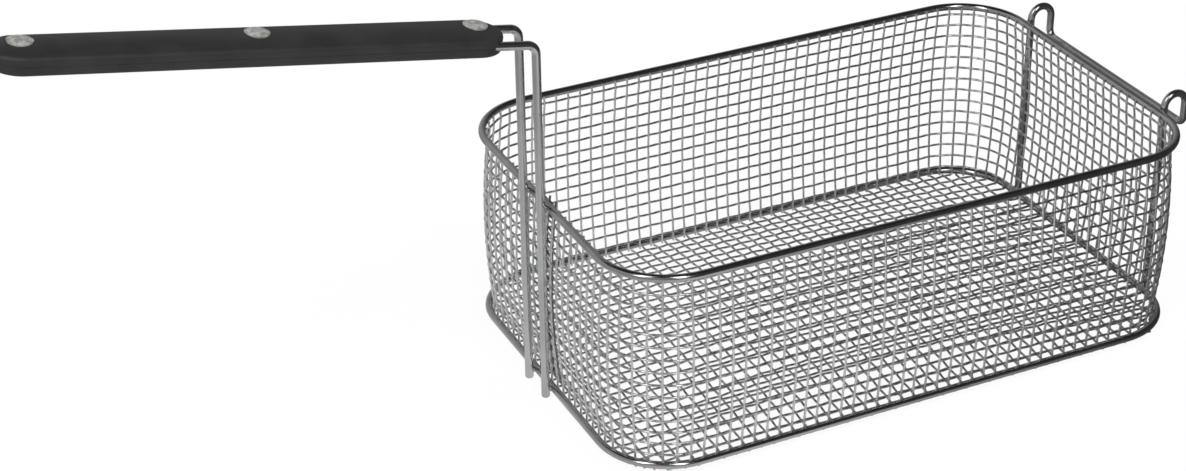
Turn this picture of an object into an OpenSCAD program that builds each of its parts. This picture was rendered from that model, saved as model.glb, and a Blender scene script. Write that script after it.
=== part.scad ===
// Deep fryer basket: a woven wire cloth tub between two rings, with a riveted grip and a hanger.
// The origin is the middle of the tub, on the plane that it stands on. The handle points along -X.

/* [Basket] */
// Length of the rim ring, between the centres of its wire
rim_length = 326; // [240:1:420]
// Width of the rim ring, between the centres of its wire
rim_width = 204.5; // [150:0.5:280]
// Corner radius of both rings, to the centre of the wire
corner_radius = 37; // [20:0.5:60]
// Height from the base ring to the rim ring, centre to centre
basket_height = 105.6; // [70:0.1:160]
// Thickness of the wire of both rings
ring_wire = 4; // [2.5:0.1:5]

/* [Wire cloth] */
// Spacing of the cloth's wires, centre to centre
mesh_pitch = 7; // [5:0.1:12]
// Thickness of the cloth's wires
mesh_wire = 1.2; // [0.8:0.1:1.8]
// How far the wall bows outwards, halfway between the rings
wall_bow = 3.5; // [1:0.1:6]
// How far the middle of the floor bows upwards
floor_bow = 7.5; // [0:0.5:12]
// Width of the overlap that closes the wall cloth behind the handle
seam_width = 15; // [8:1:40]

/* [Handle] */
// Thickness of the handle wire
handle_wire_size = 4.4; // [4:0.1:6]
// Spacing of the handle's two legs, centre to centre
handle_spacing = 20.5; // [18:0.5:22]
// Height of the handle's bend above the plane that the basket stands on
handle_height = 198.5; // [180:0.5:240]
// How far the handle tilts up from level, in degrees
handle_tilt = 10; // [0:1:25]
// Radius of the handle's bend, to the centre of the wire
handle_bend = 5.3; // [4.5:0.1:9]

/* [Grip] */
// Length of the grip
grip_length = 243; // [160:1:260]
// Width of the grip
grip_width = 28; // [27.5:0.5:36]
// Thickness of the grip through its middle
grip_thickness = 14.5; // [13:0.5:20]
// Distance from the handle's legs to the near end of the grip
grip_setback = 14; // [10:0.5:40]
// How far the grip's top and bottom fall from the middle to the edges
grip_crown = 3.4; // [0.8:0.1:4]
// Radius of the grip's rounded long edges
grip_edge = 2.4; // [1:0.1:3]
// Width of the line where the grip's two halves meet
grip_joint = 0.1; // [0.05:0.05:0.3]

/* [Rivets] */
// Diameter of the rivet heads
rivet_head = 12; // [9:0.5:12.5]
// Thickness of the straight edge of a rivet head
rivet_rim = 0.9; // [0.6:0.1:1.2]
// Height of the dome on a rivet head, above its straight edge
rivet_dome = 1.3; // [0.6:0.1:2]
// Diameter of the rivet shanks
rivet_shank = 5; // [4:0.5:6]
// Diameter of the hollow in a rivet's rolled end
rivet_hollow = 3.4; // [2:0.2:3.6]
// Depth of the flat seat of each rivet head, below the middle of the grip's crown
rivet_seat = 0.8; // [0.7:0.1:1.2]

/* [Hanger] */
// Thickness of the hanger wire
hanger_wire_size = 4; // [3:0.1:5]
// Spacing of the hanger's two hooks, centre to centre
hanger_spacing = 123; // [70:1:130]
// Radius of the hooks, to the centre of the wire
hook_radius = 6.6; // [6:0.1:14]
// Height of the hooks' centre above the rim ring's centre
hook_rise = 2.1; // [0:0.1:15]
// Depth of the cross bar below the rim ring's centre
bar_drop = 10.4; // [6:0.1:30]
// Radius of the bends at the ends of the cross bar, to the centre of the wire
bar_bend = 4.5; // [3:0.1:8]

/* [Fits] */
// Gap left at each weld between two wires, which the weld fills
weld_gap = 0.02; // [0.01:0.01:0.1]
// Clearance of the handle wire and the rivets in the grip
grip_clearance = 0.05; // [0.02:0.01:0.1]
// Height of the ends of the upright legs above the plane that the basket stands on
leg_clearance = 0.5; // [0.2:0.1:3]

/* [Hidden] */
$fn = 48;
// Fragments of a full turn for the bowed wires of the cloth, which bend along very large circles
bow_fragments = 720;

ring_r = ring_wire / 2;
mesh_r = mesh_wire / 2;
handle_r = handle_wire_size / 2;
hanger_r = hanger_wire_size / 2;

// The cloth's layers are one wire and one weld gap apart.
layer = mesh_wire + weld_gap;
// The floor's two layers need more height, as they slope most at the ends of the cross wires.
floor_layer = layer / cos(atan(4 * floor_bow / rim_width));
// The base ring lies on the floor cloth, which is highest under the middle of the ring's corners.
corner_cut = corner_radius * (1 - cos(45));
floor_top = floor_layer + layer;
base_z = hundredths_up(floor_top + floor_rise(rim_length / 2 - corner_cut, rim_width / 2 - corner_cut) + ring_r);
// The rim ring is the basket's height above the base ring.
rim_z = base_z + basket_height;

// Distance inward from the rings' centre line to the centres of the uprights, where they touch the rings
upright_inset = ring_r + weld_gap + mesh_r;

// The wall bows outwards along circles about one centre, halfway up and far inside the basket.
// The uprights' circle touches both rings, and each further layer of wires lies on a smaller circle.
bow_z = base_z + basket_height / 2;
bow_reach = wall_bow - upright_inset;
bow_r = (pow(basket_height / 2, 2) + pow(bow_reach, 2) - pow(upright_inset, 2)) / (2 * wall_bow);
bow_inset = bow_r - bow_reach;

// The number of uprights is even, so that the weave closes on itself.
upright_path = loop_length(upright_inset);
upright_count = 2 * round(upright_path / mesh_pitch / 2);
foot_clearance = 0.15;
upright_foot = floor_top + floor_rise(0, rim_width / 2 - upright_inset - mesh_wire) + foot_clearance;
upright_top = rim_z + ring_r;

// The lowest round wire lies beside the base ring's top, and the highest just under the rim.
first_round_z = base_z + ring_r + mesh_wire + 0.9;
last_round_z = rim_z - ring_r - mesh_wire;
round_count = 1 + floor((last_round_z - first_round_z) / mesh_pitch);

// Floor wires are counted out from the middle of the floor.
long_reach = floor((rim_width / 2 - ring_wire) / mesh_pitch);
cross_reach = floor((rim_length / 2 - ring_wire) / mesh_pitch);

handle_x = -(rim_length / 2 + ring_r + handle_r + weld_gap);
handle_turn = 90 - handle_tilt;
bend_setback = handle_bend * tan(handle_turn / 2);
// The wire swells by this much in its sharp bends, and the straight wires end this far inside them.
bend_swell = 0.01;
bend_lap = 0.1;
grip_end_r = grip_width / 2;
grip_near = grip_setback + grip_end_r;
grip_far = grip_setback + grip_length - grip_end_r;
grip_top = grip_thickness / 2;
crown_r = (pow(grip_end_r, 2) + pow(grip_crown, 2)) / (2 * grip_crown);
// The rounded edge touches the crown from inside, so its centre is on a circle about the crown's centre.
edge_v = grip_end_r - grip_edge;
edge_w = grip_top - crown_r + sqrt(pow(crown_r - grip_edge, 2) - pow(edge_v, 2));
edge_touch = edge_v * crown_r / (crown_r - grip_edge);
seat_w = grip_top - rivet_seat;
rivet_places = [grip_near, (grip_near + grip_far) / 2, grip_far];

hanger_x = rim_length / 2 + ring_r + hanger_r + weld_gap;
hook_z = rim_z + hook_rise;
bar_x = hanger_x + 2 * hook_radius;
bar_z = rim_z - bar_drop;

// Places where a straight wire and its bend meet are in whole hundredths, so that the two meet exactly.
function hundredths_up(v) = ceil(100 * v) / 100;

// Length of a closed loop that runs inside the rings' centre line by an inset
function loop_length(inset) =
    2 * (rim_length + rim_width - 4 * corner_radius) + 2 * PI * (corner_radius - inset);

// Place at a distance along one quarter of that loop, from the middle of the +X side towards +Y:
// x, y and the outward direction in degrees
function quarter_place(d, a, b, r) =
    let (turn = (d - b) / r * 180 / PI)
    d < b ? [a + r, d, 0]
    : d < b + r * PI / 2 ? [a + r * cos(turn), b + r * sin(turn), turn]
    : [a + b + r * PI / 2 - d, b + r, 90];

// Place at a distance along the whole loop
function loop_place(d, inset) =
    let (a = rim_length / 2 - corner_radius,
         b = rim_width / 2 - corner_radius,
         r = corner_radius - inset,
         quarter = loop_length(inset) / 4,
         half = d > 2 * quarter ? loop_place(d - 2 * quarter, inset) : [0, 0, 0],
         mirrored = quarter_place(2 * quarter - d, a, b, r))
    d > 2 * quarter ? [-half[0], -half[1], half[2] + 180]
    : d > quarter ? [-mirrored[0], mirrored[1], 180 - mirrored[2]]
    : quarter_place(d, a, b, r);

// Distance inward from the rings' centre line to the bowed wall at a height, a depth inside the uprights
function wall_inset(depth, z) =
    bow_inset - sqrt(pow(bow_r - depth, 2) - pow(z - bow_z, 2));

// Height of the bowed floor above its edge, at a place on it
function floor_rise(x, y) =
    floor_bow * (1 - pow(2 * x / rim_length, 2)) * (1 - pow(2 * y / rim_width, 2));

// Half the length of a floor wire that lies off the middle: it ends under the middle of the base ring
function floor_half(off, length, width) =
    let (past = abs(off) - (width / 2 - corner_radius))
    length / 2 - corner_radius + (past > 0 ? sqrt(pow(corner_radius, 2) - pow(past, 2)) : corner_radius);

// Straight wire along +Z
module post(r, height) {
    cylinder(r = r, h = height);
}

// Wire along a part of a circle in the XY plane, centred on the origin, from +X towards +Y
module arc_wire(r, bend, angle) {
    rotate_extrude(angle = angle)
        translate([bend, 0])
            circle(r = r);
}

// Closed wire loop in the XY plane, inside the rings' centre line by an inset
module wire_loop(r, inset) {
    half_x = rim_length / 2 - corner_radius;
    half_y = rim_width / 2 - corner_radius;
    for (side = [0, 180])
        rotate([0, 0, side]) {
            translate([-half_x, rim_width / 2 - inset, 0])
                rotate([0, 90, 0])
                    post(r, 2 * half_x);
            translate([rim_length / 2 - inset, -half_y, 0])
                rotate([-90, 0, 0])
                    post(r, 2 * half_y);
            translate([half_x, half_y, 0])
                arc_wire(r, corner_radius - inset, 90);
            translate([-half_x, half_y, 0])
                rotate([0, 0, 90])
                    arc_wire(r, corner_radius - inset, 90);
        }
}

// Floor wire along X, bowed upwards: its middle is at the origin and its ends are a half length away
module bowed_wire(half, rise, span) {
    bend = rise > 0.01 ? pow(span, 2) / (8 * rise) + rise / 2 : 0;
    if (rise > 0.01)
        translate([0, 0, -bend])
            rotate([90, 0, 0])
                rotate([0, 0, 90 - asin(half / bend)])
                    rotate_extrude(angle = 2 * asin(half / bend), $fn = bow_fragments)
                        translate([bend, 0])
                            circle(r = mesh_r, $fn = 48);
    else
        translate([-half, 0, 0])
            rotate([0, 90, 0])
                post(mesh_r, 2 * half);
}

// Bowed wire of the wall in the XZ plane: the rings' centre line is at x = 0, and outwards is +X
module bowed_upright(depth, foot, top) {
    bend = bow_r - depth;
    start = asin((foot - bow_z) / bend);
    translate([-bow_inset, 0, bow_z])
        rotate([90, 0, 0])
            rotate([0, 0, start])
                rotate_extrude(angle = asin((top - bow_z) / bend) - start, $fn = bow_fragments)
                    translate([bend, 0])
                        circle(r = mesh_r, $fn = 48);
}

// Places its children in the grip's own frame: +X out along the handle, +Z up through the grip
module in_grip() {
    translate([handle_x, 0, handle_height])
        rotate([0, -handle_tilt, 180])
            children();
}

module rim_ring() {
    color([0.74, 0.75, 0.77])
        translate([0, 0, rim_z])
            wire_loop(ring_r, 0);
}

module base_ring() {
    color([0.74, 0.75, 0.77])
        translate([0, 0, base_z])
            wire_loop(ring_r, 0);
}

module wall_upright_wires() {
    color([0.66, 0.67, 0.69])
        for (i = [0 : upright_count - 1]) {
            place = loop_place((i + 0.5) * upright_path / upright_count, upright_inset);
            translate([place[0], place[1], 0])
                rotate([0, 0, place[2]])
                    translate([upright_inset, 0, 0])
                        bowed_upright(0, upright_foot, upright_top);
        }
}

module wall_round_wires() {
    color([0.62, 0.63, 0.65])
        for (i = [0 : round_count - 1]) {
            z = first_round_z + i * mesh_pitch;
            translate([0, 0, z])
                wire_loop(mesh_r, hundredths_up(wall_inset(layer, z)));
        }
}

// Second layer of cloth inside the wall, where the wall's two ends lap over each other
module wall_seam_wires() {
    seam_reach = floor(seam_width / 2 / mesh_pitch);
    color([0.6, 0.61, 0.63]) {
        for (i = [-seam_reach : seam_reach])
            translate([-rim_length / 2, i * mesh_pitch, 0])
                rotate([0, 0, 180])
                    bowed_upright(2 * layer, upright_foot + mesh_wire, upright_top);
        for (i = [0 : round_count - 1]) {
            z = first_round_z + i * mesh_pitch;
            translate([wall_inset(3 * layer, z) - rim_length / 2, -seam_width / 2, z])
                rotate([-90, 0, 0])
                    post(mesh_r, seam_width);
        }
    }
}

module floor_long_wires() {
    color([0.64, 0.65, 0.67])
        for (i = [-long_reach : long_reach]) {
            y = i * mesh_pitch;
            translate([0, y, mesh_r + floor_rise(0, y)])
                bowed_wire(floor_half(y, rim_length, rim_width), floor_rise(0, y), rim_length);
        }
}

module floor_cross_wires() {
    color([0.6, 0.61, 0.63])
        for (i = [-cross_reach : cross_reach]) {
            x = i * mesh_pitch;
            translate([x, 0, floor_layer + mesh_r + floor_rise(x, 0)])
                rotate([0, 0, 90])
                    bowed_wire(floor_half(x, rim_width, rim_length), floor_rise(x, 0), rim_width);
        }
}

module handle_wire() {
    color([0.78, 0.79, 0.8]) {
        for (side = [-1, 1]) {
            translate([handle_x, side * handle_spacing / 2, leg_clearance])
                post(handle_r, handle_height - bend_setback - leg_clearance + bend_lap);
            translate([handle_x - handle_bend, side * handle_spacing / 2, handle_height - bend_setback])
                rotate([90, 0, 0])
                    arc_wire(handle_r + bend_swell, handle_bend, handle_turn);
            in_grip()
                translate([bend_setback - bend_lap, side * handle_spacing / 2, 0])
                    rotate([0, 90, 0])
                        post(handle_r, grip_far - bend_setback + bend_lap);
        }
        in_grip()
            translate([grip_far, 0, 0])
                rotate([0, 0, -90])
                    arc_wire(handle_r, handle_spacing / 2, 180);
    }
}

// Cross-section of the whole grip: crowned above and below, with rounded edges that touch the crowns
module grip_section() {
    intersection() {
        translate([0, grip_top - crown_r])
            circle(r = crown_r, $fn = 360);
        translate([0, crown_r - grip_top])
            circle(r = crown_r, $fn = 360);
        square([2 * edge_touch, grip_thickness], center = true);
    }
    square([grip_width, 2 * edge_w], center = true);
    for (v = [-edge_v, edge_v], w = [-edge_w, edge_w])
        translate([v, w])
            circle(r = grip_edge);
}

// One end of the grip, which is the half section turned about an upright axis
module grip_end(turn) {
    rotate([0, 0, turn])
        rotate_extrude(angle = 180)
            intersection() {
                grip_section();
                translate([0, -grip_thickness])
                    square([grip_width, 2 * grip_thickness]);
            }
}

// Room for the handle wire inside the grip
module wire_channel() {
    r = handle_r + grip_clearance;
    for (side = [-1, 1])
        translate([0, side * handle_spacing / 2, 0])
            rotate([0, 90, 0])
                post(r, grip_far);
    translate([grip_far, 0, 0])
        rotate([0, 0, -90])
            arc_wire(r, handle_spacing / 2, 180);
}

// Upper half of the grip, in the grip's frame. The lower half is the same moulding turned over.
module grip_half() {
    difference() {
        union() {
            translate([grip_near, 0, 0])
                rotate([90, 0, 90])
                    linear_extrude(height = grip_far - grip_near)
                        grip_section();
            translate([grip_near, 0, 0])
                grip_end(90);
            translate([grip_far, 0, 0])
                grip_end(-90);
        }
        translate([0, -grip_width, grip_joint / 2 - 2 * grip_thickness])
            cube([grip_setback + grip_length + 1, 2 * grip_width, 2 * grip_thickness]);
        wire_channel();
        for (u = rivet_places)
            translate([u, 0, 0]) {
                post(rivet_shank / 2 + grip_clearance, grip_thickness);
                translate([0, 0, seat_w])
                    post(rivet_head / 2 + 2 * grip_clearance, grip_thickness);
            }
    }
}

module grip_upper() {
    color([0.16, 0.16, 0.165])
        in_grip()
            grip_half();
}

module grip_lower() {
    color([0.14, 0.14, 0.145])
        in_grip()
            mirror([0, 0, 1])
                grip_half();
}

// Rivet through the grip: a domed head above, and a hollow end below that is rolled out to hold
module grip_rivet(place) {
    head_r = rivet_head / 2;
    seat = seat_w + weld_gap;
    dome_r = (pow(head_r, 2) + pow(rivet_dome, 2)) / (2 * rivet_dome);
    roll_r = (head_r - rivet_hollow / 2) / 2;
    color([0.7, 0.71, 0.71])
        in_grip()
            translate([rivet_places[place], 0, 0]) {
                translate([0, 0, -seat])
                    difference() {
                        post(rivet_shank / 2, 2 * seat);
                        translate([0, 0, -1])
                            post(rivet_hollow / 2, 1 + rivet_rim + rivet_shank / 2);
                    }
                translate([0, 0, seat])
                    post(head_r, rivet_rim);
                intersection() {
                    translate([0, 0, seat + rivet_rim + rivet_dome - dome_r])
                        sphere(r = dome_r, $fn = 96);
                    translate([0, 0, seat])
                        post(head_r, grip_thickness);
                }
                // The rolled end is a flat ring with a rounded back.
                difference() {
                    union() {
                        translate([0, 0, -seat - rivet_rim])
                            post(head_r - rivet_rim / 2, rivet_rim);
                        translate([0, 0, -seat - rivet_rim / 2])
                            arc_wire(rivet_rim / 2, head_r - rivet_rim / 2, 360);
                    }
                    translate([0, 0, -seat - rivet_rim - 1])
                        post(rivet_hollow / 2, rivet_rim + 2);
                }
            }
}

module hanger_wire() {
    color([0.72, 0.73, 0.75]) {
        for (side = [0, 1])
            mirror([0, side, 0])
                translate([0, hanger_spacing / 2, 0]) {
                    translate([hanger_x, 0, leg_clearance])
                        post(hanger_r, hook_z - leg_clearance);
                    translate([hanger_x + hook_radius, 0, hook_z])
                        rotate([90, 0, 0])
                            arc_wire(hanger_r, hook_radius, 180);
                    translate([bar_x, 0, bar_z + bar_bend])
                        post(hanger_r, hook_z - bar_z - bar_bend);
                    translate([bar_x, -bar_bend, bar_z + bar_bend])
                        rotate([90, 0, 90])
                            rotate([0, 0, -90])
                                arc_wire(hanger_r, bar_bend, 90);
                }
        translate([bar_x, -(hanger_spacing / 2 - bar_bend), bar_z])
            rotate([-90, 0, 0])
                post(hanger_r, hanger_spacing - 2 * bar_bend);
    }
}

rim_ring();
base_ring();
wall_upright_wires();
wall_round_wires();
wall_seam_wires();
floor_long_wires();
floor_cross_wires();
handle_wire();
grip_upper();
grip_lower();
grip_rivet(0);  // rivet_near
grip_rivet(1);  // rivet_middle
grip_rivet(2);  // rivet_far
hanger_wire();
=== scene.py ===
import math

import bpy
from mathutils import Matrix, Vector


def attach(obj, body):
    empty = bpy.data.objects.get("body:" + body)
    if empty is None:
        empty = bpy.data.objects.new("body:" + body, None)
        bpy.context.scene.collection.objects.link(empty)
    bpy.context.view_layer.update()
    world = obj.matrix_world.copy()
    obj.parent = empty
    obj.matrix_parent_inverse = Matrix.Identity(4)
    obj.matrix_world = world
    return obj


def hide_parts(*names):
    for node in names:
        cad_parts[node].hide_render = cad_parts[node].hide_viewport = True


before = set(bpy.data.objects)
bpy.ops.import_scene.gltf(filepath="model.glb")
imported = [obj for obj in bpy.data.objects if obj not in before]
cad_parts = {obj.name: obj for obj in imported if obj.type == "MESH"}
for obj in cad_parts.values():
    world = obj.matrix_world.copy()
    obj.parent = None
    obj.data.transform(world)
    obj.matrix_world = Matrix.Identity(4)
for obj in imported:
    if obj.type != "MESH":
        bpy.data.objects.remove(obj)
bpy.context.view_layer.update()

mm = 0.001
print("frame loaded")

# camera, at the photograph's viewpoint
cameraView = {
    "place": (-594.96, -996.84, 706.3),    # mm
    "turn": (60.349, 0.844, -25.279),      # degrees
    "lens": 76.126, "sensor": 36,          # mm
    "clipStart": 0.01, "clipEnd": 60,      # m
}

bpy.ops.object.camera_add(
    location=[v * mm for v in cameraView["place"]],
    rotation=[math.radians(a) for a in cameraView["turn"]])
camera = bpy.context.object
camera.name = "camera"
camera.data.sensor_fit = "HORIZONTAL"
camera.data.sensor_width = cameraView["sensor"]
camera.data.lens = cameraView["lens"]
camera.data.clip_start = cameraView["clipStart"]
camera.data.clip_end = cameraView["clipEnd"]
bpy.context.scene.camera = camera
print("camera placed")


def deselectAll():
    if bpy.context.object and bpy.context.object.mode != "OBJECT":
        bpy.ops.object.mode_set(mode="OBJECT")
    bpy.ops.object.select_all(action="DESELECT")


def makeActive(piece):
    deselectAll()
    piece.select_set(True)
    bpy.context.view_layer.objects.active = piece


def wirePath(name, paths, thickness, closed=False, taper=0.0):
    # a curve with one spline for each path of (x, y, z) in mm, as thick as the wire
    deselectAll()
    bpy.ops.object.add(type="CURVE", location=(0, 0, 0))
    wire = bpy.context.object
    wire.name = name
    shape = wire.data
    shape.dimensions = "3D"
    shape.bevel_depth = thickness / 2 * mm
    shape.use_fill_caps = not closed
    for path in paths:
        spline = shape.splines.new("POLY")
        spline.points.add(len(path) - 1)
        for point, spot in zip(spline.points, path):
            point.co = (spot[0] * mm, spot[1] * mm, spot[2] * mm, 1)
        spline.use_cyclic_u = closed
        if taper:
            spline.points[0].radius = 1 - taper
            spline.points[-1].radius = 1 - taper
    return wire


def wireMesh(wire, sides, smoothUnder=50):
    # turns the curve into a mesh with this many sides round the wire, smooth under an angle in degrees
    wire.data.bevel_resolution = (sides - 4) // 2
    makeActive(wire)
    bpy.ops.object.convert(target="MESH")
    bpy.ops.object.shade_smooth_by_angle(angle=math.radians(smoothUnder))
    return bpy.context.object


def joinAll(pieces, name):
    deselectAll()
    for piece in pieces:
        piece.select_set(True)
    bpy.context.view_layer.objects.active = pieces[0]
    if len(pieces) > 1:
        bpy.ops.object.join()
    bpy.ops.object.transform_apply(location=True, rotation=True, scale=True)
    joined = bpy.context.object
    joined.name = name
    joined.data.name = name
    return joined


def copyTo(master, places, name):
    # one copy of the master at each place, each with its own mesh, joined into one piece
    copies = []
    for place in places:
        twin = master.copy()
        twin.data = master.data.copy()
        twin.matrix_world = place
        bpy.context.collection.objects.link(twin)
        copies.append(twin)
    bpy.data.objects.remove(master, do_unlink=True)
    return joinAll(copies, name)


def giveFinish(piece, material):
    piece.data.materials.clear()
    piece.data.materials.append(material)


def placePiece(piece, material, nodes):
    giveFinish(piece, material)
    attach(piece, "root")
    if nodes:
        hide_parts(*nodes)


# node helpers for the finishes
def addNode(tree, kind, values=(), **settings):
    # one shader node, with its settings and the values of its sockets
    node = tree.nodes.new("ShaderNode" + kind)
    for setting, value in settings.items():
        setattr(node, setting, value)
    for socket, value in dict(values).items():
        node.inputs[socket].default_value = value
    return node


def link(tree, fromNode, fromSocket, toNode, toSocket):
    tree.links.new(fromNode.outputs[fromSocket], toNode.inputs[toSocket])


def newGroup(name, inputs, outputs):
    group = bpy.data.node_groups.new(name, "ShaderNodeTree")
    for label, kind, value in inputs:
        socket = group.interface.new_socket(label, in_out="INPUT", socket_type=kind)
        socket.default_value = value
    for label, kind in outputs:
        group.interface.new_socket(label, in_out="OUTPUT", socket_type=kind)
    return group, group.nodes.new("NodeGroupInput"), group.nodes.new("NodeGroupOutput")


def newMaterial(name):
    material = bpy.data.materials.new(name)
    material.use_nodes = True
    return material, material.node_tree


def grey(shade):
    return (shade, shade, shade, 1)


# wire finish and painted shade: slow patches of tone along the wire, fine drawing marks that roughen
# it, and a painted shade midway between two crossings of the weave, standing for the dark ceiling
# mirrored there, where the piece has the attribute "between"
wireFinishAndPaintedShade = {
    "patchDetail": 3, "patchFrom": 0.35, "patchTo": 0.65,
    "markDetail": 2, "markFrom": 0.3, "markTo": 0.7,
    "markDepth": 0.00005,    # m
    "betweenPaintedShade": 0.02,
}
mixFactor, mixFirst, mixSecond, mixResult = 0, 6, 7, 2    # sockets of a Mix node that mixes colours

wireGroup, groupIn, groupOut = newGroup(
    "wireFinishAndPaintedShade",
    [("Bright", "NodeSocketColor", (0.7, 0.7, 0.72, 1)),
     ("Dull", "NodeSocketColor", (0.5, 0.5, 0.52, 1)),
     ("Patch Scale", "NodeSocketFloat", 90.0),
     ("Mark Scale", "NodeSocketFloat", 1500.0),
     ("Smooth", "NodeSocketFloat", 0.15),
     ("Rough", "NodeSocketFloat", 0.35),
     ("Mark Height", "NodeSocketFloat", 0.1),
     ("Between", "NodeSocketFloat", 0.0)],
    [("Color", "NodeSocketColor"), ("Roughness", "NodeSocketFloat"), ("Normal", "NodeSocketVector")])
coords = addNode(wireGroup, "TexCoord")
patches = addNode(wireGroup, "TexNoise", {"Detail": wireFinishAndPaintedShade["patchDetail"]})
marks = addNode(wireGroup, "TexNoise", {"Detail": wireFinishAndPaintedShade["markDetail"]})
spread = addNode(wireGroup, "MapRange", {"From Min": wireFinishAndPaintedShade["patchFrom"],
                                         "From Max": wireFinishAndPaintedShade["patchTo"]})
tone = addNode(wireGroup, "Mix", data_type="RGBA")
polish = addNode(wireGroup, "MapRange", {"From Min": wireFinishAndPaintedShade["markFrom"],
                                         "From Max": wireFinishAndPaintedShade["markTo"]})
relief = addNode(wireGroup, "Bump", {"Distance": wireFinishAndPaintedShade["markDepth"]})
between = addNode(wireGroup, "Attribute", attribute_name="between")
paintedShadeBy = addNode(wireGroup, "Math", operation="MULTIPLY")
# painted shade: the wire's colour darkens towards this near-black grey midway between crossings
withPaintedShade = addNode(wireGroup, "Mix", {mixSecond: grey(wireFinishAndPaintedShade["betweenPaintedShade"])}, data_type="RGBA")
link(wireGroup, coords, "Object", patches, "Vector")
link(wireGroup, coords, "Object", marks, "Vector")
link(wireGroup, groupIn, "Patch Scale", patches, "Scale")
link(wireGroup, groupIn, "Mark Scale", marks, "Scale")
link(wireGroup, patches, "Fac", spread, "Value")
link(wireGroup, spread, "Result", tone, mixFactor)
link(wireGroup, groupIn, "Dull", tone, mixFirst)
link(wireGroup, groupIn, "Bright", tone, mixSecond)
link(wireGroup, marks, "Fac", polish, "Value")
link(wireGroup, groupIn, "Smooth", polish, "To Min")
link(wireGroup, groupIn, "Rough", polish, "To Max")
link(wireGroup, marks, "Fac", relief, "Height")
link(wireGroup, groupIn, "Mark Height", relief, "Strength")
link(wireGroup, between, "Fac", paintedShadeBy, 0)
link(wireGroup, groupIn, "Between", paintedShadeBy, 1)
link(wireGroup, paintedShadeBy, 0, withPaintedShade, mixFactor)
link(wireGroup, tone, mixResult, withPaintedShade, mixFirst)
link(wireGroup, withPaintedShade, mixResult, groupOut, "Color")
link(wireGroup, polish, "Result", groupOut, "Roughness")
link(wireGroup, relief, "Normal", groupOut, "Normal")


def wireMaterial(name, look, metallic=1.0):
    material, tree = newMaterial(name)
    surface = tree.nodes["Principled BSDF"]
    surface.inputs["Metallic"].default_value = metallic
    finish = addNode(tree, "Group", look, node_tree=wireGroup)
    link(tree, finish, "Color", surface, "Base Color")
    link(tree, finish, "Roughness", surface, "Roughness")
    link(tree, finish, "Normal", surface, "Normal")
    return material


ringLook = {"Bright": (0.58, 0.58, 0.585, 1), "Dull": (0.47, 0.47, 0.475, 1),
            "Patch Scale": 60.0, "Mark Scale": 1800.0,
            "Smooth": 0.1, "Rough": 0.22, "Mark Height": 0.1}
# the cloth's Between is how strongly it takes the painted shade midway between crossings
clothLook = {"Bright": (0.93, 0.93, 0.935, 1), "Dull": (0.77, 0.77, 0.775, 1),
             "Patch Scale": 140.0, "Mark Scale": 2600.0,
             "Smooth": 0.2, "Rough": 0.36, "Mark Height": 0.15, "Between": 0.55}
# the seam's wire is the cloth's, painted far darker: painted shade over the lapped strip between the
# handle's legs
seamShadeLook = dict(clothLook, Bright=(0.3, 0.3, 0.305, 1), Dull=(0.18, 0.18, 0.185, 1))
handleLook = {"Bright": (0.72, 0.725, 0.73, 1), "Dull": (0.6, 0.605, 0.61, 1),
              "Patch Scale": 45.0, "Mark Scale": 1500.0,
              "Smooth": 0.12, "Rough": 0.24, "Mark Height": 0.1}
ringMetal = wireMaterial("ringMetal", ringLook)
clothMetal = wireMaterial("clothMetal", clothLook)
seamShadeMetal = wireMaterial("seamShadeMetal", seamShadeLook)
handleMetal = wireMaterial("handleMetal", handleLook)
print("wire finishes made")

# the tub's outline, and from here on all lengths of the pieces are in mm
tub = {
    "length": 326.0, "width": 204.5, "corner": 37.0,    # to the rings' centre line
    "baseHeight": 4.65, "rimHeight": 110.25,            # of the rings' centre lines
}
rings = {"wire": 4.0, "sides": 24, "cornerSteps": 20}


# rings: round wire bent to the tub's outline
def ringPath(height):
    bend = tub["corner"]
    path = []
    for quarter, (signX, signY) in enumerate([(1, 1), (-1, 1), (-1, -1), (1, -1)]):
        centreX = signX * (tub["length"] / 2 - bend)
        centreY = signY * (tub["width"] / 2 - bend)
        for step in range(rings["cornerSteps"] + 1):
            angle = math.pi / 2 * (quarter + step / rings["cornerSteps"])
            path.append((centreX + bend * math.cos(angle), centreY + bend * math.sin(angle), height))
    return path


for name, node, height in [("rimRing", "rim_ring", tub["rimHeight"]),
                           ("baseRing", "base_ring", tub["baseHeight"])]:
    ring = wireMesh(wirePath(name, [ringPath(height)], rings["wire"], closed=True), rings["sides"])
    placePiece(ring, ringMetal, [node])
print("rings bent")

# the woven wire that the wall, the seam and the floor are made of
cloth = {
    "pitch": 7.0, "wire": 1.2, "sides": 8,
    "steps": 4,           # points from one crossing to the next
    "layer": 1.22,        # from the uprights to the round wires
    "paintedShadeSharp": 4,    # how closely the painted shade keeps to the middle between two crossings
}
wall = {
    "uprights": 140, "rounds": 15, "firstRound": 8.75,
    "inset": 2.62,                    # from the rings' centre line to the uprights
    "foot": 3.153, "top": 110.75,     # ends of the uprights, which the rings hide
    "settle": 2.0, "settleDepth": 0.1,    # past the outer crossings, where an upright nears its ring
    "bowHeight": 57.45, "bowRadius": 397.393, "bowInset": 396.513,    # circle that the wall bows along
    "uprightCrimp": 0.12, "roundCrimp": 0.2,
}


def wave(place):
    # the crimp of a woven wire: at its full height at each crossing, on alternate sides
    return math.cos(math.pi * place)


def markPaintedShade(piece, place):
    # keeps on each point of a woven wire how near it is to the middle between two crossings, as the
    # mask of the painted shade
    marks = piece.data.attributes.new("between", "FLOAT", "POINT")
    sharp = cloth["paintedShadeSharp"]
    marks.data.foreach_set("value", [math.sin(math.pi * place(count, point.co)) ** sharp
                                     for count, point in enumerate(piece.data.vertices)])


def loopLength():
    bend = tub["corner"] - wall["inset"]
    return 2 * (tub["length"] + tub["width"] - 4 * tub["corner"]) + 2 * math.pi * bend


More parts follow.
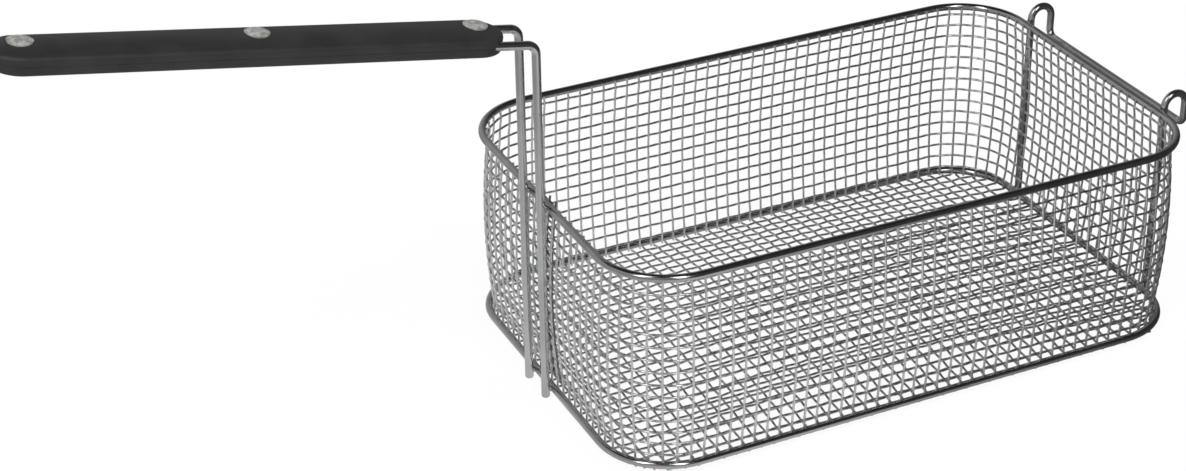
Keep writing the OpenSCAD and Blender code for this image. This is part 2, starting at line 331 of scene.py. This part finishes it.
def loopSpot(along, inward):
    # a place on the loop of the uprights, moved inward, and the direction out of the tub there
    flatX = tub["length"] / 2 - tub["corner"]
    flatY = tub["width"] / 2 - tub["corner"]
    bend = tub["corner"] - wall["inset"]
    turn = bend * math.pi / 2
    quarter = flatX + flatY + turn
    along = along % (4 * quarter)
    flip = 1
    if along > 2 * quarter:
        along, flip = along - 2 * quarter, -1
    mirror = 1
    if along > quarter:
        along, mirror = 2 * quarter - along, -1
    if along < flatY:
        out, spot = Vector((1, 0)), Vector((flatX + bend, along))
    elif along < flatY + turn:
        angle = (along - flatY) / bend
        out = Vector((math.cos(angle), math.sin(angle)))
        spot = Vector((flatX, flatY)) + out * bend
    else:
        out, spot = Vector((0, 1)), Vector((quarter - along, flatY + bend))
    spot = spot - out * inward
    return (Vector((spot.x * mirror * flip, spot.y * flip)),
            Vector((out.x * mirror * flip, out.y * flip)))


def wallInset(height, depth):
    # how far inside the rings' centre line the bowed wall is, at a depth inside its outer wires
    rise = height - wall["bowHeight"]
    return wall["bowInset"] - math.sqrt((wall["bowRadius"] - depth) ** 2 - rise ** 2)


def roundHeight(level):
    return wall["firstRound"] + level * cloth["pitch"]


def crimpedSpots(middle, shift, sign):
    # heights and depths of an upright wire from the first round wire to the last
    spots = []
    for step in range((wall["rounds"] - 1) * cloth["steps"] + 1):
        place = step / cloth["steps"]
        spots.append((roundHeight(place), middle - sign * wall["uprightCrimp"] * wave(place + shift)))
    return spots


# wall cloth: the even and the odd upright are modelled once and copied round the tub
def uprightPath(sign):
    spots = [(wall["foot"], 0), (tub["baseHeight"], 0),
             (wall["firstRound"] - wall["settle"], wall["settleDepth"])]
    spots += crimpedSpots(cloth["layer"] / 2, 0, sign)
    spots += [(roundHeight(wall["rounds"] - 1) + wall["settle"], wall["settleDepth"]),
              (tub["rimHeight"], 0), (wall["top"], 0)]
    return [(-wallInset(height, depth), 0, height) for height, depth in spots]


step = loopLength() / wall["uprights"]
wallUprights = []
for odd in (0, 1):
    path = uprightPath(1 - 2 * odd)
    master = wireMesh(wirePath("upright", [path], cloth["wire"]), cloth["sides"])
    places = []
    for count in range(odd, wall["uprights"], 2):
        spot, out = loopSpot((count + 0.5) * step, -wall["inset"])
        turn = Matrix.Rotation(math.atan2(out.y, out.x), 4, "Z")
        places.append(Matrix.Translation((spot.x * mm, spot.y * mm, 0)) @ turn)
    wallUprights.append(copyTo(master, places, "wallUprights"))
uprights = joinAll(wallUprights, "wallUprights")
placePiece(uprights, clothMetal, ["wall_upright_wires"])
print("uprights woven")


def roundPath(level):
    height = roundHeight(level)
    path = []
    for count in range(wall["uprights"] * cloth["steps"]):
        place = count / cloth["steps"]
        depth = cloth["layer"] / 2 + wall["roundCrimp"] * wave(place - 0.5 + level)
        spot, out = loopSpot(place * step, wallInset(height, depth) - wall["inset"])
        path.append((spot.x, spot.y, height))
    return path


roundPaths = [roundPath(level) for level in range(wall["rounds"])]
rounds = wireMesh(wirePath("wallRounds", roundPaths, cloth["wire"], closed=True), cloth["sides"])
markPaintedShade(rounds, lambda count, spot: count // cloth["sides"] / cloth["steps"] - 0.5)
placePiece(rounds, clothMetal, ["wall_round_wires"])
print("round wires woven")

# seam: the strip of a second layer where the cloth laps over itself, behind the handle, its wire
# painted far darker than the cloth as painted shade
seamStrip = {
    "reach": 1,          # uprights to each side of the middle one
    "width": 15.0,       # of its round wires
    "sideSteps": 4,      # points from the middle of a round wire to its end
    "depth": 2.5,        # layers inside the wall's uprights
    "foot": 4.353, "top": 109.8,
}


def seamPaths():
    middle = seamStrip["depth"] * cloth["layer"]
    wallX = -tub["length"] / 2
    paths = []
    for row in range(-seamStrip["reach"], seamStrip["reach"] + 1):
        spots = [(seamStrip["foot"], middle)]
        spots += crimpedSpots(middle, row, 1)
        spots.append((seamStrip["top"], middle))
        paths.append([(wallX + wallInset(height, depth), row * cloth["pitch"], height)
                      for height, depth in spots])
    steps = seamStrip["sideSteps"]
    for level in range(wall["rounds"]):
        height = roundHeight(level)
        path = []
        for count in range(-steps, steps + 1):
            side = count / steps * seamStrip["width"] / 2
            depth = middle + wall["roundCrimp"] * wave(side / cloth["pitch"] + level)
            path.append((wallX + wallInset(height, depth), side, height))
        paths.append(path)
    return paths


seam = wireMesh(wirePath("wallSeam", seamPaths(), cloth["wire"]), cloth["sides"])
placePiece(seam, seamShadeMetal, ["wall_seam_wires"])
print("seam laid over")

# floor cloth: woven the same way and bowed up in the middle
floorCloth = {
    "low": 0.6, "layer": 1.233, "bow": 7.5, "crimp": 0.22,
    "longReach": 14, "crossReach": 22,    # wires to each side of the middle one
    "short": 1.2, "past": 1.0,            # from the rings' centre line to a wire's two ends
    "clear": 0.3,                         # least distance from an end to the next point
}


def floorHeight(x, y):
    middle = floorCloth["low"] + floorCloth["layer"] / 2
    fallX, fallY = (2 * x / tub["length"]) ** 2, (2 * y / tub["width"]) ** 2
    return middle + floorCloth["bow"] * (1 - fallX) * (1 - fallY)


def floorHalf(off, length, width):
    # half the tub's length along a wire that lies off the middle
    bend = tub["corner"]
    past = abs(off) - (width / 2 - bend)
    return length / 2 - bend + (math.sqrt(bend ** 2 - past ** 2) if past > 0 else bend)


def floorSteps(half):
    # points along a floor wire: the crimp's points between its two ends, the first of which stops
    # short of the ring's centre line and the other goes a little past it
    gap = cloth["pitch"] / cloth["steps"]
    start, end = floorCloth["short"] - half, floorCloth["past"] + half
    first = math.ceil((start + floorCloth["clear"]) / gap)
    last = math.floor((end - floorCloth["clear"]) / gap)
    return [start] + [count * gap for count in range(first, last + 1)] + [end]


longPaths = []
for row in range(-floorCloth["longReach"], floorCloth["longReach"] + 1):
    y = row * cloth["pitch"]
    half = floorHalf(y, tub["length"], tub["width"])
    longPaths.append([(x, y, floorHeight(x, y) + floorCloth["crimp"] * wave(x / cloth["pitch"] + row))
                      for x in floorSteps(half)])
crossPaths = []
for row in range(-floorCloth["crossReach"], floorCloth["crossReach"] + 1):
    x = row * cloth["pitch"]
    half = floorHalf(x, tub["width"], tub["length"])
    crossPaths.append([(x, y, floorHeight(x, y) - floorCloth["crimp"] * wave(y / cloth["pitch"] + row))
                       for y in floorSteps(half)])
floorLong = wireMesh(wirePath("floorLong", longPaths, cloth["wire"]), cloth["sides"])
markPaintedShade(floorLong, lambda count, spot: spot.x / mm / cloth["pitch"])
placePiece(floorLong, clothMetal, ["floor_long_wires"])
floorCross = wireMesh(wirePath("floorCross", crossPaths, cloth["wire"]), cloth["sides"])
markPaintedShade(floorCross, lambda count, spot: spot.y / mm / cloth["pitch"])
placePiece(floorCross, clothMetal, ["floor_cross_wires"])
print("floor woven")

# handle: one wire bent double, with both ends welded down the outside of the tub
handle = {
    "wire": 4.4, "sides": 24, "spacing": 20.5,
    "legX": -167.22, "foot": 0.5, "height": 198.5,
    "tip": 0.5, "taper": 0.12,    # length and share of the rounding at the two ends
    "tilt": 10.0,                 # degrees
    "bend": 5.3, "bendSteps": 12,
    "far": 243.0, "farSteps": 12,
}


def gripSpot(out, side):
    # a place in the middle of the grip: out along the handle and to the side
    tilt = math.radians(handle["tilt"])
    return (handle["legX"] - out * math.cos(tilt), side, handle["height"] + out * math.sin(tilt))


def handlePath():
    turn = math.radians(90 - handle["tilt"])
    setback = handle["bend"] * math.tan(turn / 2)
    half = handle["spacing"] / 2
    leg = [(handle["legX"], handle["foot"]), (handle["legX"], handle["foot"] + handle["tip"])]
    for count in range(handle["bendSteps"] + 1):
        angle = turn * count / handle["bendSteps"]
        leg.append((handle["legX"] - handle["bend"] * (1 - math.cos(angle)),
                    handle["height"] - setback + handle["bend"] * math.sin(angle)))
    path = [(x, half, z) for x, z in leg]
    for count in range(handle["farSteps"] + 1):
        angle = math.pi * count / handle["farSteps"]
        path.append(gripSpot(handle["far"] + half * math.sin(angle), half * math.cos(angle)))
    return path + [(x, -half, z) for x, z in reversed(leg)]


handleCurve = wirePath("handleWire", [handlePath()], handle["wire"], taper=handle["taper"])
handleWire = wireMesh(handleCurve, handle["sides"])
placePiece(handleWire, handleMetal, ["handle_wire"])
print("handle bent")

# hanger: two legs up the far end, each over a hook, and a cross bar between the hooks
hanger = {
    "wire": 4.0, "sides": 20, "spacing": 123.0,
    "legX": 167.02, "foot": 0.5,
    "tip": 0.5, "taper": 0.12,
    "hookHeight": 112.35, "hookRadius": 6.6,
    "barHeight": 99.85, "barBend": 4.5, "bendSteps": 10,
}


def hangerPath():
    half = hanger["spacing"] / 2
    barX = hanger["legX"] + 2 * hanger["hookRadius"]
    side = [(hanger["legX"], half, hanger["foot"]),
            (hanger["legX"], half, hanger["foot"] + hanger["tip"])]
    for count in range(2 * hanger["bendSteps"] + 1):
        angle = math.pi * (1 - count / (2 * hanger["bendSteps"]))
        side.append((hanger["legX"] + hanger["hookRadius"] * (1 + math.cos(angle)), half,
                     hanger["hookHeight"] + hanger["hookRadius"] * math.sin(angle)))
    for count in range(hanger["bendSteps"] + 1):
        angle = math.pi / 2 * count / hanger["bendSteps"]
        side.append((barX, half - hanger["barBend"] * (1 - math.cos(angle)),
                     hanger["barHeight"] + hanger["barBend"] * (1 - math.sin(angle))))
    return side + [(x, -y, z) for x, y, z in reversed(side)]


hangerCurve = wirePath("hangerWire", [hangerPath()], hanger["wire"], taper=hanger["taper"])
hangerWire = wireMesh(hangerCurve, hanger["sides"])
placePiece(hangerWire, handleMetal, ["hanger_wire"])
print("hanger bent")

# welds: a small flattened nugget where each leg crosses each ring
welds = {"size": (1.0, 2.1, 1.7), "rings": 8, "segments": 14}
nuggets = []
ringOut = (tub["length"] + rings["wire"]) / 2
legPlaces = [(-ringOut, side * handle["spacing"] / 2) for side in (-1, 1)]
legPlaces += [(ringOut, side * hanger["spacing"] / 2) for side in (-1, 1)]
for x, y in legPlaces:
    for height in (tub["baseHeight"], tub["rimHeight"]):
        deselectAll()
        bpy.ops.mesh.primitive_uv_sphere_add(segments=welds["segments"], ring_count=welds["rings"],
                                             radius=mm, location=(x * mm, y * mm, height * mm))
        bpy.ops.object.mode_set(mode="EDIT")
        bpy.ops.mesh.select_all(action="SELECT")
        bpy.ops.transform.resize(value=welds["size"])
        bpy.ops.object.mode_set(mode="OBJECT")
        bpy.ops.object.shade_smooth()
        nuggets.append(bpy.context.object)
weldPiece = joinAll(nuggets, "weldNuggets")
placePiece(weldPiece, ringMetal, [])
print("welds set")

# grip: matt black moulding with a fine spark-eroded grain
gripLook = {
    "dark": (0.014, 0.014, 0.0145, 1), "pale": (0.02, 0.02, 0.0205, 1),
    "darkUpTo": 0.35, "paleFrom": 0.7,    # of the cloudy noise
    "cloudScale": 70, "cloudDetail": 5,
    "rough": 0.5, "roughSpread": 0.04,
    "grainScale": 1400, "grainDetail": 3, "grainStrength": 0.35,
    "grainDepth": 0.0001,                 # m
}
gripPlastic, tree = newMaterial("gripPlastic")
surface = tree.nodes["Principled BSDF"]
coords = addNode(tree, "TexCoord")
cloud = addNode(tree, "TexNoise", {"Scale": gripLook["cloudScale"], "Detail": gripLook["cloudDetail"]})
grain = addNode(tree, "TexNoise", {"Scale": gripLook["grainScale"], "Detail": gripLook["grainDetail"]})
tone = addNode(tree, "ValToRGB")
low, high = tone.color_ramp.elements
low.position, low.color = gripLook["darkUpTo"], gripLook["dark"]
high.position, high.color = gripLook["paleFrom"], gripLook["pale"]
polish = addNode(tree, "MapRange", {"To Min": gripLook["rough"] - gripLook["roughSpread"],
                                    "To Max": gripLook["rough"] + gripLook["roughSpread"]})
relief = addNode(tree, "Bump", {"Strength": gripLook["grainStrength"],
                                "Distance": gripLook["grainDepth"]})
link(tree, coords, "Object", cloud, "Vector")
link(tree, coords, "Object", grain, "Vector")
link(tree, cloud, "Fac", tone, "Fac")
link(tree, tone, "Color", surface, "Base Color")
link(tree, cloud, "Fac", polish, "Value")
link(tree, polish, "Result", surface, "Roughness")
link(tree, grain, "Fac", relief, "Height")
link(tree, relief, "Normal", surface, "Normal")
for node in ("grip_upper", "grip_lower"):
    giveFinish(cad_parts[node], gripPlastic)

# rivets: dull pressed metal
rivetLook = {"Bright": (0.42, 0.42, 0.4, 1), "Dull": (0.2, 0.2, 0.188, 1),
             "Patch Scale": 420.0, "Mark Scale": 1400.0,
             "Smooth": 0.3, "Rough": 0.5, "Mark Height": 0.25}
rivetMetal = wireMaterial("rivetMetal", rivetLook, metallic=0.35)
for node in ("rivet_near", "rivet_middle", "rivet_far"):
    giveFinish(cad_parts[node], rivetMetal)
print("grip and rivets finished")

# studio floor: a pale card that takes a faint shadow; the metal mirrors a glowing floor with painted
# shade, a little darker under the tub, darker far out, darker to the left and darkest to the right
studioFloor = {
    "size": 12.0, "drop": 0.0002,                  # m
    "glow": 0.985, "card": 0.9, "cardShare": 0.06,
    "mirrorReach": 1.5,                            # m, from under the tub outwards
    "mirrorPaintedShade": [(0.0, 0.62), (0.08, 0.64), (0.2, 0.68), (1.0, 0.36)],
    "sideReach": 0.5,                              # m, to each side, from left to right
    "sidePaintedShade": [(0.05, 0.55), (0.3, 0.84), (0.42, 1.0), (0.66, 0.09)],
}


def toneRamp(tree, tones):
    # a ramp of greys, from (place, tone) pairs in rising order
    ramp = addNode(tree, "ValToRGB")
    stops = ramp.color_ramp.elements
    stops.remove(stops[1])
    stops[0].position, stops[0].color = tones[0][0], grey(tones[0][1])
    for place, shade in tones[1:]:
        stops.new(place).color = grey(shade)
    return ramp


deselectAll()
bpy.ops.mesh.primitive_plane_add(size=studioFloor["size"], location=(0, 0, -studioFloor["drop"]))
floor = bpy.context.object
floor.name = "studioFloor"
floorPaint, tree = newMaterial("floorPaint")
tree.nodes.clear()
output = addNode(tree, "OutputMaterial")
ray = addNode(tree, "LightPath")
card = addNode(tree, "BsdfDiffuse", {"Color": grey(studioFloor["card"])})
glow = addNode(tree, "Emission", {"Color": grey(1), "Strength": studioFloor["glow"]})
seen = addNode(tree, "MixShader", {"Fac": studioFloor["cardShare"]})
coords = addNode(tree, "TexCoord")
reach = addNode(tree, "VectorMath", operation="LENGTH")
scaled = addNode(tree, "Math", {1: studioFloor["mirrorReach"]}, operation="DIVIDE")
# painted shade on the glowing floor that the metal mirrors: darker under the tub and far out, to the
# left, and most to the right
paintedReachShade = toneRamp(tree, studioFloor["mirrorPaintedShade"])
across = addNode(tree, "SeparateXYZ")
sideways = addNode(tree, "MapRange", {"From Min": -studioFloor["sideReach"],
                                      "From Max": studioFloor["sideReach"]})
paintedSideShade = toneRamp(tree, studioFloor["sidePaintedShade"])
mirrored = addNode(tree, "Emission")
pickMirror = addNode(tree, "MixShader")
pickSeen = addNode(tree, "MixShader")
link(tree, coords, "Object", reach, 0)
link(tree, reach, "Value", scaled, 0)
link(tree, scaled, 0, paintedReachShade, "Fac")
link(tree, paintedReachShade, "Color", mirrored, "Color")
link(tree, coords, "Object", across, "Vector")
link(tree, across, "X", sideways, "Value")
link(tree, sideways, "Result", paintedSideShade, "Fac")
link(tree, paintedSideShade, "Color", mirrored, "Strength")
link(tree, glow, 0, seen, 1)
link(tree, card, 0, seen, 2)
link(tree, ray, "Is Glossy Ray", pickMirror, "Fac")
link(tree, card, 0, pickMirror, 1)
link(tree, mirrored, 0, pickMirror, 2)
link(tree, ray, "Is Camera Ray", pickSeen, "Fac")
link(tree, pickMirror, 0, pickSeen, 1)
link(tree, seen, 0, pickSeen, 2)
link(tree, pickSeen, 0, output, "Surface")
giveFinish(floor, floorPaint)

# room: for the metal to mirror, walls that are bright behind and to the left and dark to the right,
# under a dark ceiling
room = {
    "ceiling": 0.02, "ceilingFrom": 0.52, "ceilingTo": 0.76,    # heights on a unit sphere
    "brightWay": (-0.85, 0.53, 0.0),
    "wallDark": 0.05, "darkUpTo": -0.6,                         # along the bright way
    "wallBright": 0.52, "brightFrom": 0.5,
    "fill": 0.9,                                                # light on what isn't glossy
}
world = bpy.data.worlds.new("room")
bpy.context.scene.world = world
world.use_nodes = True
tree = world.node_tree
tree.nodes.clear()
output = addNode(tree, "OutputWorld")
ray = addNode(tree, "LightPath")
coords = addNode(tree, "TexCoord")
split = addNode(tree, "SeparateXYZ")
upwards = addNode(tree, "MapRange", {"From Min": room["ceilingFrom"], "From Max": room["ceilingTo"]},
                  interpolation_type="SMOOTHSTEP")
towards = addNode(tree, "VectorMath", {1: room["brightWay"]}, operation="DOT_PRODUCT")
walls = addNode(tree, "MapRange", {"From Min": room["darkUpTo"], "From Max": room["brightFrom"],
                                   "To Min": room["wallDark"], "To Max": room["wallBright"]})
blendUp = addNode(tree, "Mix", {3: room["ceiling"]})
shown = addNode(tree, "Background")
soft = addNode(tree, "Background", {"Strength": room["fill"]})
plain = addNode(tree, "Background")
pickShown = addNode(tree, "MixShader")
pickPlain = addNode(tree, "MixShader")
link(tree, coords, "Generated", split, "Vector")
link(tree, split, "Z", upwards, "Value")
link(tree, coords, "Generated", towards, 0)
link(tree, towards, "Value", walls, "Value")
link(tree, upwards, "Result", blendUp, 0)
link(tree, walls, "Result", blendUp, 2)
link(tree, blendUp, 0, shown, "Strength")
link(tree, ray, "Is Glossy Ray", pickShown, "Fac")
link(tree, soft, 0, pickShown, 1)
link(tree, shown, 0, pickShown, 2)
link(tree, ray, "Is Camera Ray", pickPlain, "Fac")
link(tree, pickShown, 0, pickPlain, 1)
link(tree, plain, 0, pickPlain, 2)
link(tree, pickPlain, 0, output, "Surface")

# lights: two soft ones that the metal doesn't mirror, and two strips that give it highlights
lights = {
    "keyLight": {"place": (-1.2, -1.4, 2.2), "aim": (0, 0, 0.05),
                 "size": (1.6, 1.2), "power": 45, "mirrored": False},
    "fillLight": {"place": (1.8, -0.6, 1.6), "aim": (0, 0, 0.05),
                  "size": (1.2, 1.2), "power": 18, "mirrored": False},
    "leftStrip": {"place": (-2.06, -0.97, 2.22), "aim": (-0.13, -0.09, 0.1),
                  "size": (0.62, 2.1), "power": 18, "mirrored": True},
    "frontStrip": {"place": (-0.25, -2.21, 2.22), "aim": (-0.13, -0.09, 0.1),
                   "size": (0.62, 2.1), "power": 18, "mirrored": True},
}
for name, settings in lights.items():
    deselectAll()
    bpy.ops.object.light_add(type="AREA", location=settings["place"])
    light = bpy.context.object
    light.name = name
    light.data.shape = "RECTANGLE"
    light.data.size, light.data.size_y = settings["size"]
    light.data.energy = settings["power"]
    aimed = Vector(settings["aim"]) - Vector(settings["place"])
    light.rotation_euler = aimed.to_track_quat("-Z", "Y").to_euler()
    light.visible_glossy = settings["mirrored"]
bpy.context.scene.view_settings.view_transform = "Standard"
print("studio lit")
